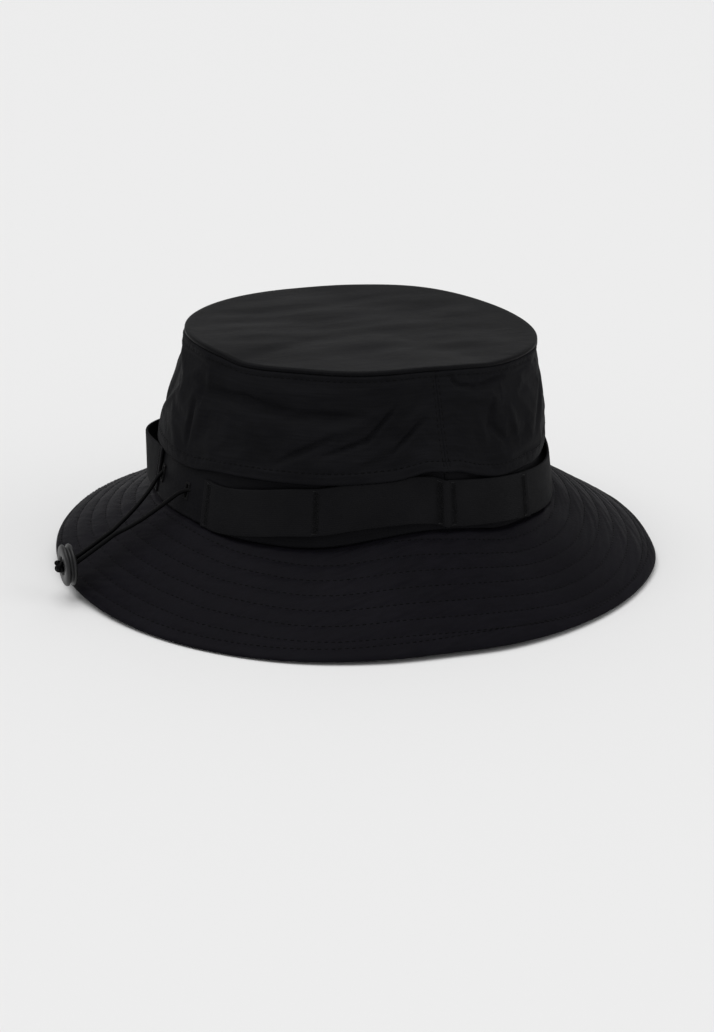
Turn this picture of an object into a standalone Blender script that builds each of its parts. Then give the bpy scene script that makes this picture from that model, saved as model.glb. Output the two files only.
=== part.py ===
"""A soft bucket hat of the boonie kind: crown, taped band, quilted brim and drawcord.

The hat stands on its brim. +Z is up, the front is -Y and the rear, where the drawcord
leaves the band, is +Y. The origin is on the floor, in the middle of the brim's outline.
Every ring of the hat follows one oval. A place on it is an angle, counted from +X
towards +Y, a distance outward from the oval, and a height.
"""

import math

import bmesh
import bpy
from mathutils import Matrix, Vector

MM = 0.001

# The oval where the band meets the brim
OVAL_LENGTH = 199.6 * MM
OVAL_WIDTH = 178.6 * MM

# Heights above the floor
SEAM_HEIGHT = 35.1 * MM
CROWN_HEIGHT = 114.0 * MM

# Cloth and clearances
CLOTH = 0.8 * MM
BRIM_CLOTH = 0.6 * MM
INTERLINING = 0.5 * MM
BINDING = 0.6 * MM
GAP = 0.3 * MM

# Brim
BRIM_REACH = 51.5 * MM
BRIM_TUCK = 1.4 * MM
INTERLINING_INSET = 2.0 * MM
# Each wave of the brim's edge: how many round the hat, its height, where its crest is
BRIM_WAVES = ((1, 2.5 * MM, 10.0), (2, 1.9 * MM, 55.0), (3, 1.7 * MM, 45.0))

# Band and wall
BAND_LEAN = -0.127
BAND_TUCK = 10.0 * MM
HEM_FOLD = 1.4 * MM
HEM_DEPTH = 5.5 * MM
HEM_EASE = 1.0 * MM
WALL_DRAW_IN = 11.4 * MM
TIP_ROLL = 0.5 * MM

# Webbing tape
TAPE_WIDTH = 22.0 * MM
TAPE_THICKNESS = 1.2 * MM
TAPE_RISE = 3.0 * MM
TAPE_UNDER_HEM = 2.5 * MM
TACK_WIDTH = 2.4 * MM
TACK_THICKNESS = 0.5 * MM
TACK_INSET = 1.2 * MM
REAR_LOOP_BULGE = 9.5 * MM
FRONT_LOOP_BULGE = 5.0 * MM
# Each length of tape: where it starts and ends, and how far it stands off the band
TAPES = (
    ("tape_right_rear", 108.0, 180.0, 0.0),
    ("tape_right_side", 180.0, 216.0, 0.0),
    ("tape_loop_right_front", 216.0, 252.0, FRONT_LOOP_BULGE),
    ("tape_front", 252.0, 324.0, 0.0),
    ("tape_left_side", 324.0, 396.0, 0.0),
    ("tape_loop_left_rear", 396.0, 432.0, REAR_LOOP_BULGE),
)
# Where bar tacks hold the tape
TACKS = (
    ("right_rear_end", 110.0),
    ("right_rear", 144.0),
    ("right_seam_rear", 177.9),
    ("right_seam_front", 182.4),
    ("right_front", 218.2),
    ("front_right", 254.4),
    ("front", 288.0),
    ("front_left", 321.6),
    ("left_seam_front", 357.6),
    ("left_seam_rear", 2.1),
    ("left_rear", 33.8),
    ("left_rear_end", 69.4),
)

# Inside of the crown
SWEATBAND_THICKNESS = 1.0 * MM
SWEATBAND_HEIGHT = 30.0 * MM
BRIM_BINDING_HEIGHT = 8.0 * MM
TIP_BINDING_HEIGHT = 9.0 * MM
SIDE_BINDING_WIDTH = 10.0 * MM

# Drawcord, its two buttonholes, lock and knot
CORD_DIAMETER = 2.0 * MM
CORD_SPACING = 4.4 * MM
SLIT_ANGLE = 9.5
SLIT_ABOVE_SEAM = 13.4 * MM
SLIT_EASE = 3.4 * MM
SLIT_LENGTH = 8.0 * MM
BUTTONHOLE_RIM = 1.5 * MM
BUTTONHOLE_THICKNESS = 0.5 * MM
LOCK_DIAMETER = 19.5 * MM
LOCK_THICKNESS = 5.6 * MM
LOCK_GROOVE_WIDTH = 2.0 * MM
LOCK_GROOVE_DEPTH = 1.4 * MM
LOCK_RECESS_EASE = 2.0 * MM
LOCK_RECESS_DEPTH = 1.4 * MM
LOCK_INSET = 5.0 * MM
LOCK_SIDEWAYS = -6.0 * MM
# The disc leans back off the line of the cords, turns aside and rides a little high on them
LOCK_TILT = 28.0
LOCK_TURN = -5.0
LOCK_LIFT = 0.6 * MM
KNOT_DIAMETER = 6.6 * MM
KNOT_LENGTH = 5.0 * MM

# The free strands' routes, chosen by hand, from inside the channel to the lock's recess
LEFT_ROUTE = (
    (20.3, 93.3, 48.5), (17.3, 94.1, 48.5), (14.4, 96.3, 48.4), (12.9, 99.9, 46.2),
    (9.8, 105.0, 42.1), (6.4, 110.7, 38.5), (2.6, 117.0, 35.2), (-0.8, 123.4, 32.3),
    (-3.0, 127.6, 30.5), (-3.8, 130.3, 29.2), (-3.8, 132.9, 27.7), (-3.8, 138.1, 24.7),
    (-3.8, 145.0, 20.74), (-3.8, 152.9, 16.21),
)
RIGHT_ROUTE = (
    (-20.3, 93.3, 48.5), (-17.3, 94.1, 48.5), (-14.4, 96.3, 48.4), (-12.0, 99.9, 46.2),
    (-10.1, 105.0, 42.1), (-9.4, 110.7, 38.5), (-9.4, 117.0, 35.2), (-9.1, 123.4, 32.3),
    (-8.5, 127.6, 30.5), (-8.2, 130.3, 29.2), (-8.2, 132.9, 27.7), (-8.2, 138.1, 24.7),
    (-8.2, 145.0, 20.74), (-8.2, 153.3, 15.98),
)

# Fineness of the rings and of the cord
RING_STEPS = 96
STEP_DEGREES = 360.0 / RING_STEPS
CORD_STEP = 2.0 * CORD_DIAMETER
RUN_STEP_DEGREES = 6.0
LOCK_SIDES = 32

# Heights and depths that follow from the sizes above
HEM_HEIGHT = SEAM_HEIGHT + TAPE_RISE + TAPE_WIDTH + TAPE_UNDER_HEM
BAND_FOOT = SEAM_HEIGHT + GAP
BAND_TOP = HEM_HEIGHT + BAND_TUCK
WALL_TOP = CROWN_HEIGHT - CLOTH - GAP
BRIM_THICKNESS = 2.0 * BRIM_CLOTH + INTERLINING + 2.0 * GAP
CHANNEL_DEPTH = CORD_DIAMETER + 2.0 * GAP
SLIT_HEIGHT = SEAM_HEIGHT + SLIT_ABOVE_SEAM
SLIT_WIDTH = CORD_DIAMETER + SLIT_EASE


def clear_scene():
    for item in list(bpy.data.objects):
        bpy.data.objects.remove(item, do_unlink=True)


def material(name, colour, roughness, metallic=0.0):
    made = bpy.data.materials.new(name)
    made.use_nodes = True
    shader = made.node_tree.nodes["Principled BSDF"]
    shader.inputs["Base Color"].default_value = (*colour, 1.0)
    shader.inputs["Roughness"].default_value = roughness
    shader.inputs["Metallic"].default_value = metallic
    return made


def add_mesh(name, bm, colour, roughness):
    """Close a bmesh into a named object with its own material."""
    bmesh.ops.recalc_face_normals(bm, faces=bm.faces)
    mesh = bpy.data.meshes.new(name)
    bm.to_mesh(mesh)
    bm.free()
    mesh.materials.append(material(name, colour, roughness))
    made = bpy.data.objects.new(name, mesh)
    bpy.context.scene.collection.objects.link(made)
    mesh.shade_smooth()
    mesh.set_sharp_from_angle(angle=math.radians(35.0))
    return made


# ---- the oval ----

def oval_normal(degrees):
    turn = math.radians(degrees)
    return Vector((math.cos(turn) / OVAL_WIDTH, math.sin(turn) / OVAL_LENGTH, 0.0)).normalized()


def oval_point(degrees, outward, height):
    turn = math.radians(degrees)
    on_oval = Vector((OVAL_WIDTH / 2 * math.cos(turn), OVAL_LENGTH / 2 * math.sin(turn), height))
    return on_oval + oval_normal(degrees) * outward


def degrees_for(length, degrees):
    """The angle that spans a length of the oval, near another angle."""
    turn = math.radians(degrees)
    speed = math.hypot(OVAL_WIDTH / 2 * math.sin(turn), OVAL_LENGTH / 2 * math.cos(turn))
    return math.degrees(length / speed)


def arc_angles(start, end):
    """Angles from start to end, with the whole rings' own angles in between."""
    first = math.floor(start / STEP_DEGREES + 0.25) + 1
    last = math.ceil(end / STEP_DEGREES - 0.25) - 1
    return [start] + [step * STEP_DEGREES for step in range(first, last + 1)] + [end]


def sweep(sections, closed):
    """Join a row of equal sections, each a loop of points, into one closed solid."""
    bm = bmesh.new()
    rows = [[bm.verts.new(point) for point in section] for section in sections]
    corners = len(rows[0])
    pairs = list(zip(rows, rows[1:]))
    if closed:
        pairs.append((rows[-1], rows[0]))
    else:
        bm.faces.new(rows[0])
        bm.faces.new(reversed(rows[-1]))
    for near, far in pairs:
        for corner in range(corners):
            after = (corner + 1) % corners
            bm.faces.new((near[corner], far[corner], far[after], near[after]))
    return bm


def ring_solid(name, profile, colour, roughness):
    """A solid all round the hat; profile(degrees) gives its (outward, height) corners."""
    sections = []
    for step in range(RING_STEPS):
        degrees = step * STEP_DEGREES
        sections.append([oval_point(degrees, out, high) for out, high in profile(degrees)])
    return add_mesh(name, sweep(sections, closed=True), colour, roughness)


def arc_solid(name, profile, start, end, colour, roughness):
    """The same for a part of the way round."""
    sections = []
    for degrees in arc_angles(start, end):
        sections.append([oval_point(degrees, out, high) for out, high in profile(degrees)])
    return add_mesh(name, sweep(sections, closed=False), colour, roughness)


# ---- the faces that the pieces share ----

def brim_wave(degrees):
    return sum(rise * math.cos(math.radians(count * (degrees - crest))) for count, rise, crest in BRIM_WAVES)


LOWEST_WAVE = min(brim_wave(step * STEP_DEGREES) for step in range(RING_STEPS))


def brim_top(degrees, outward):
    """Height of the brim's upper face."""
    edge = brim_wave(degrees) - LOWEST_WAVE + BRIM_THICKNESS
    share = max(outward, 0.0) / BRIM_REACH
    return SEAM_HEIGHT + (edge - SEAM_HEIGHT) * share


def band_face(height):
    """How far outward the band's outer face is."""
    return BAND_LEAN * (height - SEAM_HEIGHT)


def wall_face(height):
    """How far outward the wall's outer face is, from its hem to the tip seam."""
    hem = band_face(HEM_HEIGHT) + GAP + HEM_EASE + HEM_FOLD
    shoulder = band_face(BAND_TOP) + GAP + CLOTH
    if height < BAND_TOP:
        return hem + (shoulder - hem) * (height - HEM_HEIGHT) / (BAND_TOP - HEM_HEIGHT)
    return shoulder - WALL_DRAW_IN * (height - BAND_TOP) / (WALL_TOP - BAND_TOP)


def lining_face(height):
    """The sweatband's outer face: it leaves a channel for the drawcord behind the band."""
    return band_face(height) - CLOTH - CHANNEL_DEPTH


# ---- crown ----

def crown_tip():
    edge = wall_face(WALL_TOP) + TIP_ROLL
    bm = bmesh.new()
    rim = []
    for outward, height in (
        (edge, CROWN_HEIGHT - CLOTH),
        (edge, CROWN_HEIGHT - CLOTH / 2),
        (edge - CLOTH / 2, CROWN_HEIGHT),
    ):
        rim.append([bm.verts.new(oval_point(step * STEP_DEGREES, outward, height)) for step in range(RING_STEPS)])
    for low, high in zip(rim, rim[1:]):
        for step in range(RING_STEPS):
            after = (step + 1) % RING_STEPS
            bm.faces.new((low[step], low[after], high[after], high[step]))
    bm.faces.new(reversed(rim[0]))
    bm.faces.new(rim[-1])
    return add_mesh("crown_tip", bm, (0.022, 0.022, 0.024), 0.55)


def wall_profile(degrees):
    """One layer of cloth, doubled along the folded hem."""
    hem_top = HEM_HEIGHT + HEM_DEPTH
    return [
        (wall_face(HEM_HEIGHT), HEM_HEIGHT),
        (wall_face(BAND_TOP), BAND_TOP),
        (wall_face(WALL_TOP), WALL_TOP),
        (wall_face(WALL_TOP) - CLOTH, WALL_TOP),
        (wall_face(BAND_TOP) - CLOTH, BAND_TOP),
        (wall_face(hem_top) - CLOTH, hem_top),
        (wall_face(hem_top) - HEM_FOLD, hem_top),
        (wall_face(HEM_HEIGHT) - HEM_FOLD, HEM_HEIGHT),
    ]


def band_profile(degrees):
    return [
        (band_face(BAND_FOOT), BAND_FOOT),
        (band_face(BAND_TOP), BAND_TOP),
        (band_face(BAND_TOP) - CLOTH, BAND_TOP),
        (band_face(BAND_FOOT) - CLOTH, BAND_FOOT),
    ]


def crown_walls():
    side = degrees_for(GAP / 2, 0.0)
    arc_solid("crown_wall_rear", wall_profile, side, 180.0 - side, (0.012, 0.012, 0.014), 0.6)
    arc_solid("crown_wall_front", wall_profile, 180.0 + side, 360.0 - side, (0.012, 0.012, 0.014), 0.6)


def band():
    side = degrees_for(GAP / 2, 0.0)
    rear = arc_solid("band_rear", band_profile, side, 180.0 - side, (0.011, 0.011, 0.013), 0.6)
    arc_solid("band_front", band_profile, 180.0 + side, 360.0 - side, (0.011, 0.011, 0.013), 0.6)
    for word, degrees in slit_places():
        cut = rear.modifiers.new("slit_" + word, "BOOLEAN")
        cut.object = slit_cutter(word, degrees)


# ---- drawcord's buttonholes ----

def slit_places():
    return (("left", 90.0 - SLIT_ANGLE), ("right", 90.0 + SLIT_ANGLE))


def slit_frame(degrees):
    """Axes at a slit, on the band's outer face: along the band, up the band, outward."""
    outward = oval_normal(degrees)
    upright = (Vector((0.0, 0.0, 1.0)) + outward * BAND_LEAN).normalized()
    along = upright.cross(outward).normalized()
    face = along.cross(upright)
    place = oval_point(degrees, band_face(SLIT_HEIGHT), SLIT_HEIGHT)
    return Matrix.Translation(place) @ Matrix((along, upright, face)).transposed().to_4x4()


def slit_cutter(word, degrees):
    bm = bmesh.new()
    bmesh.ops.create_cube(bm, size=1.0)
    bmesh.ops.scale(bm, vec=(SLIT_WIDTH, SLIT_LENGTH, 6.0 * CLOTH), verts=bm.verts)
    bmesh.ops.transform(bm, matrix=slit_frame(degrees), verts=bm.verts)
    cutter = add_mesh("cutter_slit_" + word, bm, (0.5, 0.5, 0.5), 0.5)
    cutter.hide_render = True
    cutter.display_type = "WIRE"
    return cutter


def buttonholes():
    """A thread frame round each slit, lying on the band."""
    for word, degrees in slit_places():
        sections = []
        for x, y in ((-1, -1), (1, -1), (1, 1), (-1, 1)):
            inner = Vector((x * SLIT_WIDTH / 2, y * SLIT_LENGTH / 2, 0.0))
            outer = inner + Vector((x * BUTTONHOLE_RIM, y * BUTTONHOLE_RIM, 0.0))
            back = Vector((0.0, 0.0, GAP))
            front = Vector((0.0, 0.0, GAP + BUTTONHOLE_THICKNESS))
            sections.append([inner + back, outer + back, outer + front, inner + front])
        bm = sweep(sections, closed=True)
        bmesh.ops.transform(bm, matrix=slit_frame(degrees), verts=bm.verts)
        add_mesh("buttonhole_" + word, bm, (0.014, 0.014, 0.016), 0.7)


# ---- webbing tape ----

def tape_bulge(degrees, start, end, bulge):
    """How far a loop stands off the band, from nothing at its ends."""
    share = (degrees - start) / (end - start)
    return bulge * math.sin(math.pi * share) ** 2


def webbing():
    foot = SEAM_HEIGHT + TAPE_RISE
    top = foot + TAPE_WIDTH
    for name, start, end, bulge in TAPES:
        trim = degrees_for(GAP / 2, start)

        def profile(degrees, start=start, end=end, bulge=bulge):
            off = GAP + tape_bulge(degrees, start, end, bulge)
            return [
                (band_face(foot) + off, foot),
                (band_face(foot) + off + TAPE_THICKNESS, foot),
                (band_face(top) + off + TAPE_THICKNESS, top),
                (band_face(top) + off, top),
            ]

        arc_solid(name, profile, start + trim, end - trim, (0.010, 0.010, 0.011), 0.75)


def bar_tacks():
    foot = SEAM_HEIGHT + TAPE_RISE + TACK_INSET
    top = foot + TAPE_WIDTH - 2.0 * TACK_INSET
    for word, degrees in TACKS:
        half = degrees_for(TACK_WIDTH / 2, degrees)

        def profile(at):
            off = 2.0 * GAP + TAPE_THICKNESS + tack_lift(at)
            return [
                (band_face(foot) + off, foot),
                (band_face(foot) + off + TACK_THICKNESS, foot),
                (band_face(top) + off + TACK_THICKNESS, top),
                (band_face(top) + off, top),
            ]

        arc_solid("bar_tack_" + word, profile, degrees - half, degrees + half, (0.012, 0.012, 0.013), 0.6)


def tack_lift(degrees):
    """The tape's stand-off where a tack crosses the foot of a loop."""
    lift = 0.0
    for name, start, end, bulge in TAPES:
        for at in (degrees, degrees + 360.0):
            if start <= at <= end:
                lift = max(lift, tape_bulge(at, start, end, bulge))
    return lift


# ---- brim ----

def brim_layer(name, inner, outer, down, thickness, colour, roughness):
    """One layer of the brim, a depth below its upper face."""
    def profile(degrees):
        top = [(out, brim_top(degrees, out) - down) for out in (inner, 0.0, outer)]
        foot = [(out, high - thickness) for out, high in reversed(top)]
        return top + foot

    return ring_solid(name, profile, colour, roughness)


def brim():
    inner = band_face(BAND_FOOT) - BRIM_TUCK
    below = BRIM_CLOTH + GAP
    brim_layer("brim_upper", inner, BRIM_REACH, 0.0, BRIM_CLOTH, (0.016, 0.016, 0.019), 0.6)
    brim_layer(
        "brim_interlining", inner, BRIM_REACH - INTERLINING_INSET, below, INTERLINING, (0.5, 0.5, 0.48), 0.9
    )
    brim_layer(
        "brim_lining", inner, BRIM_REACH, below + INTERLINING + GAP, BRIM_CLOTH, (0.016, 0.016, 0.019), 0.6
    )


# ---- inside of the crown ----

def strip_profile(face, foot, top, thickness):
    """A strip of even thickness behind a face; face(height) is its outer side."""
    return lambda degrees: [
        (face(foot), foot),
        (face(top), top),
        (face(top) - thickness, top),
        (face(foot) - thickness, foot),
    ]


def inside():
    split = degrees_for(GAP / 2, 90.0)
    sweatband = strip_profile(lining_face, BAND_FOOT, BAND_FOOT + SWEATBAND_HEIGHT, SWEATBAND_THICKNESS)
    arc_solid("sweatband", sweatband, 90.0 + split, 450.0 - split, (0.013, 0.013, 0.015), 0.8)

    def behind_band(height):
        return band_face(height) - CLOTH - GAP

    def behind_wall(height):
        return wall_face(height) - CLOTH - GAP

    binding = strip_profile(behind_band, BAND_FOOT, BAND_FOOT + BRIM_BINDING_HEIGHT, BINDING)
    ring_solid("brim_seam_binding", binding, (0.012, 0.012, 0.013), 0.7)
    tip_foot = WALL_TOP - GAP - TIP_BINDING_HEIGHT
    binding = strip_profile(behind_wall, tip_foot, WALL_TOP - GAP, BINDING)
    ring_solid("tip_seam_binding", binding, (0.012, 0.012, 0.013), 0.7)
    binding = strip_profile(behind_wall, BAND_TOP + GAP, tip_foot - GAP, BINDING)
    for word, degrees in (("left", 360.0), ("right", 180.0)):
        half = degrees_for(SIDE_BINDING_WIDTH / 2, degrees)
        name = "side_seam_binding_" + word
        arc_solid(name, binding, degrees - half, degrees + half, (0.012, 0.012, 0.013), 0.7)


# ---- drawcord ----

def smooth_route(points, step):
    """Points a step apart on a smooth curve through the route's points."""
    path = [Vector(point) for point in points]
    path = [path[0] * 2.0 - path[1]] + path + [path[-1] * 2.0 - path[-2]]
    fine = []
    for before, start, end, after in zip(path, path[1:], path[2:], path[3:]):
        for part in range(12):
            share = part / 12
            bend = (before * 2.0 - start * 5.0 + end * 4.0 - after) * share ** 2
            twist = (start * 3.0 - before - end * 3.0 + after) * share ** 3
            fine.append((start * 2.0 + (end - before) * share + bend + twist) / 2.0)
    fine.append(path[-2])
    length = sum((b - a).length for a, b in zip(fine, fine[1:]))
    pieces = max(2, round(length / step))
    evenly = [fine[0]]
    walked = 0.0
    for start, end in zip(fine, fine[1:]):
        span = (end - start).length
        while len(evenly) < pieces and walked + span >= len(evenly) * length / pieces:
            evenly.append(start.lerp(end, (len(evenly) * length / pieces - walked) / span))
        walked += span
    return evenly + [fine[-1]]


def cord(name, points):
    curve = bpy.data.curves.new(name, "CURVE")
    curve.dimensions = "3D"
    curve.bevel_depth = CORD_DIAMETER / 2
    curve.bevel_resolution = 2
    curve.use_fill_caps = True
    spline = curve.splines.new("POLY")
    spline.points.add(len(points) - 1)
    for knot, point in zip(spline.points, points):
        knot.co = (*point, 1.0)
    curve.materials.append(material(name, (0.012, 0.012, 0.013), 0.5))
    made = bpy.data.objects.new(name, curve)
    bpy.context.scene.collection.objects.link(made)


def drawcord():
    left = [Vector(point) * MM for point in LEFT_ROUTE]
    right = [Vector(point) * MM for point in RIGHT_ROUTE]
    cord("drawcord_strand_left", smooth_route(left, CORD_STEP))
    cord("drawcord_strand_right", smooth_route(right, CORD_STEP))
    middle = lining_face(SLIT_HEIGHT) + GAP + CORD_DIAMETER / 2
    first = channel_angle(right[0])
    last = channel_angle(left[0]) + 360.0
    gap = degrees_for(GAP, 90.0)
    steps = round((last - first) / RUN_STEP_DEGREES)
    run = []
    for step in range(steps + 1):
        degrees = first + gap + (last - first - 2.0 * gap) * step / steps
        run.append(oval_point(degrees, middle, SLIT_HEIGHT))
    cord("drawcord_channel_run", run)


def channel_angle(point):
    """The oval's angle beside a point."""
    return math.degrees(math.atan2(point.y / OVAL_LENGTH, point.x / OVAL_WIDTH))


def cord_frame():
    """Axes where the lock stands on the brim: sideways, along the cords, off the brim."""
    edge = Vector((0.0, OVAL_LENGTH / 2 + BRIM_REACH, brim_top(90.0, BRIM_REACH)))
    seam = Vector((0.0, OVAL_LENGTH / 2, brim_top(90.0, 0.0)))
    outward = (edge - seam).normalized()
    sideways = Vector((1.0, 0.0, 0.0))
    off = sideways.cross(outward)
    centre = edge - outward * LOCK_INSET + off * (LOCK_DIAMETER / 2 + GAP) + sideways * LOCK_SIDEWAYS
    return Matrix.Translation(centre) @ Matrix((sideways, outward, off)).transposed().to_4x4()


def disc_frame():
    lean = Matrix.Rotation(math.radians(LOCK_TILT), 4, "X")
    aside = Matrix.Rotation(math.radians(LOCK_TURN), 4, "Z")
    return cord_frame() @ Matrix.Translation((0.0, 0.0, LOCK_LIFT)) @ lean @ aside


def turned(name, profile, sides, colour, roughness):
    """A solid turned about the lock's own axis; profile is (along, radius) points."""
    bm = bmesh.new()
    rows = []
    for along, radius in profile:
        row = []
        for side in range(sides):
            turn = 2.0 * math.pi * side / sides
            row.append(bm.verts.new((radius * math.cos(turn), along, radius * math.sin(turn))))
        rows.append(row)
    for near, far in zip(rows, rows[1:]):
        for side in range(sides):
            after = (side + 1) % sides
            bm.faces.new((near[side], near[after], far[after], far[side]))
    bm.faces.new(rows[0])
    bm.faces.new(rows[-1])
    bmesh.ops.transform(bm, matrix=disc_frame(), verts=bm.verts)
    return add_mesh(name, bm, colour, roughness)


def bore_cutter():
    """An oblong hole that both strands pass through side by side."""
    clear = CORD_DIAMETER / 2 + GAP
    bm = bmesh.new()
    for end in (-1, 1):
        for side in range(9):
            turn = math.pi * (side / 8 - 0.5) * end
            x = end * CORD_SPACING / 2 + clear * math.cos(turn) * end
            bm.verts.new((x, -LOCK_THICKNESS, clear * math.sin(turn)))
    bottom = bm.faces.new(bm.verts)
    pushed = bmesh.ops.extrude_face_region(bm, geom=[bottom])
    moved = [item for item in pushed["geom"] if isinstance(item, bmesh.types.BMVert)]
    bmesh.ops.translate(bm, vec=(0.0, 2.0 * LOCK_THICKNESS, 0.0), verts=moved)
    bmesh.ops.transform(bm, matrix=cord_frame(), verts=bm.verts)
    return add_mesh("cutter_lock_bore", bm, (0.5, 0.5, 0.5), 0.5)


def cord_lock():
    radius = LOCK_DIAMETER / 2
    half = LOCK_THICKNESS / 2
    groove = LOCK_GROOVE_WIDTH / 2
    shoulder = radius - 0.28 * LOCK_THICKNESS
    profile = [
        (-half, shoulder),
        (-0.86 * half, radius - 0.08 * LOCK_THICKNESS),
        (-0.66 * half, radius),
        (-1.15 * groove, radius - 0.2 * LOCK_GROOVE_DEPTH),
        (-0.6 * groove, radius - 0.85 * LOCK_GROOVE_DEPTH),
        (0.0, radius - LOCK_GROOVE_DEPTH),
        (0.6 * groove, radius - 0.85 * LOCK_GROOVE_DEPTH),
        (1.15 * groove, radius - 0.2 * LOCK_GROOVE_DEPTH),
        (0.66 * half, radius),
        (0.86 * half, radius - 0.08 * LOCK_THICKNESS),
        (half, shoulder),
    ]
    lock = turned("cord_lock", profile, LOCK_SIDES, (0.02, 0.02, 0.021), 0.35)
    recess_radius = (KNOT_DIAMETER + LOCK_RECESS_EASE) / 2
    recess = turned(
        "cutter_lock_recess",
        [(half - LOCK_RECESS_DEPTH, recess_radius), (half + LOCK_RECESS_DEPTH, recess_radius)],
        LOCK_SIDES, (0.5, 0.5, 0.5), 0.5,
    )
    for word, cutter in (("bore", bore_cutter()), ("recess", recess)):
        cutter.hide_render = True
        cutter.display_type = "WIRE"
        cut = lock.modifiers.new(word, "BOOLEAN")
        cut.object = cutter


def cord_knot():
    radius = KNOT_DIAMETER / 2
    start = LOCK_THICKNESS / 2 - LOCK_RECESS_DEPTH + GAP
    end = start + KNOT_LENGTH
    profile = [
        (start, 0.8 * radius),
        (start + 0.25 * KNOT_LENGTH, radius),
        (end - 0.25 * KNOT_LENGTH, radius),
        (end, 0.7 * radius),
    ]
    turned("cord_knot", profile, 16, (0.013, 0.013, 0.014), 0.6)


clear_scene()
crown_tip()
crown_walls()
band()
buttonholes()
webbing()
bar_tacks()
brim()
inside()
drawcord()
cord_lock()
cord_knot()
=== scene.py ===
"""The looks of a soft bucket hat: creased nylon crown, webbing band, quilted brim, drawcord.

The frame holds the hat's sizes. A place on a ring of the hat is an angle on its oval,
counted from +X towards +Y, a distance outward from the oval, and a height.
"""

import bisect
import functools
import math

import bmesh
import bpy
from mathutils import Matrix, Vector, noise


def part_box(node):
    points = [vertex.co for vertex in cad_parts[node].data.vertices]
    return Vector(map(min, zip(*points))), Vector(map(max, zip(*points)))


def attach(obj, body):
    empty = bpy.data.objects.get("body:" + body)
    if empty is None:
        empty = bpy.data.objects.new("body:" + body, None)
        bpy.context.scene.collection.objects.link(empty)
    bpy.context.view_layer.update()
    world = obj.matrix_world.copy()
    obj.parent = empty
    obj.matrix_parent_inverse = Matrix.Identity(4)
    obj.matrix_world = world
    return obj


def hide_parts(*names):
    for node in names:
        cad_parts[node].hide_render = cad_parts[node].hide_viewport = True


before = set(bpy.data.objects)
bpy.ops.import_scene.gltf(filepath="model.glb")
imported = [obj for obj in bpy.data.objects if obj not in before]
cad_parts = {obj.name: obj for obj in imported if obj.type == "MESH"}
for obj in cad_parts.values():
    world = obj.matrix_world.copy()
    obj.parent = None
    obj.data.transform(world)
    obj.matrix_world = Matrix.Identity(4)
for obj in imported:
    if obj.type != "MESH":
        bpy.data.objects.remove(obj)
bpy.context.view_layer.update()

MM = 0.001

# ---- sizes read from the frame ----

GAP = 0.3 * MM
CLOTH = 0.8 * MM
BAND_LEAN = -0.127
BAND_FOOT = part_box("band_front")[0].z
SEAM = BAND_FOOT - GAP
BAND_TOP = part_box("band_front")[1].z
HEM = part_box("crown_wall_rear")[0].z
WALL_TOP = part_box("crown_wall_rear")[1].z
TIP_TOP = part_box("crown_tip")[1].z
TAPE_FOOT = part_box("tape_front")[0].z
TAPE_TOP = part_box("tape_front")[1].z
HALF_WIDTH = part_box("band_rear")[1].x - BAND_LEAN * GAP
HALF_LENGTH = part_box("band_rear")[1].y - BAND_LEAN * GAP
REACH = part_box("brim_upper")[1].y - HALF_LENGTH
TIP_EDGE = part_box("crown_tip")[1].x - HALF_WIDTH
WALL_TOP_OUT = TIP_EDGE - 0.5 * MM
HEM_OUT = BAND_LEAN * (HEM - SEAM) + GAP + 2.4 * MM
SHOULDER_OUT = BAND_LEAN * (BAND_TOP - SEAM) + GAP + CLOTH
LOCK_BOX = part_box("cord_lock")

# ---- sizes of the sewing ----

HALVES = (("rear", 0.0), ("front", 180.0))
BRIM_THICKNESS = 2.3 * MM
EDGE_THICKNESS = 1.6 * MM
BRIM_WAVES = ((1, 2.5 * MM, 10.0), (2, 1.9 * MM, 55.0), (3, 1.7 * MM, 45.0))
# How far the soft brim's edge reaches past its oval or short of it
BRIM_SHIFTS = (
    (0, 0.0), (30, -2.2), (50, -3.2), (75, -2.6), (95, -2.8), (110, -2.2), (125, -0.8), (142, 0.5),
    (158, -0.2), (171, -1.2), (182, 0.6), (205, 1.2), (220, 2.0), (235, 3.0), (248, 1.0), (265, 0.8),
    (285, 0.2), (320, 0.0),
)
# How the seam of the brim, the hem, the tape and the tip rise and dip round the hat
JOINT_RISES = (
    (0, 1.0), (45, -1.0), (75, 0.5), (92, 1.4), (103, 1.1), (116, -1.0), (130, -1.8), (142, -1.8),
    (151, -0.2), (162, 3.2), (173, 5.0), (182, 3.9), (190, 1.6), (198, -1.2), (208, -2.2),
    (222, -3.6), (234, -4.2), (250, -1.8), (275, 0.6), (300, -0.8), (330, 0.8),
)
HEM_RISES = (
    (0, 1.0), (40, -1.5), (75, -2.0), (92, -2.8), (102, -2.2), (112, 0.2), (126, 1.5), (145, 1.7),
    (158, 2.7), (166, 3.8), (174, 6.4), (180, 5.2), (184, 4.3), (190, 0.8), (198, -2.4),
    (208, -3.2), (222, -4.6), (234, -4.8), (250, -2.0), (275, 0.8), (300, -1.0), (330, 1.5),
)
TAPE_RISES = (
    (0, 1.5), (30, -0.5), (70, -1.0), (95, -2.0), (108, -3.0), (116, -3.6), (127, -1.4),
    (137, 0.8), (145, 1.8), (153, 4.4), (161, 6.2), (169, 6.7), (176, 5.4), (180, 3.0),
    (190, 0.8), (200, -1.4), (212, -4.2), (222, -5.8), (234, -6.0), (250, -2.5), (275, 0.5), (300, -0.5),
    (330, 1.0),
)
TIP_RISES = (
    (0, 0.0), (60, 0.4), (92, 1.2), (107, 0.5), (117, -1.0), (137, 0.2), (157, 0.5), (176, 1.6),
    (191, 0.7), (204, -1.0), (224, -1.4), (250, -1.0), (283, 0.8), (312, 2.2), (338, 1.0),
)
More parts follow.
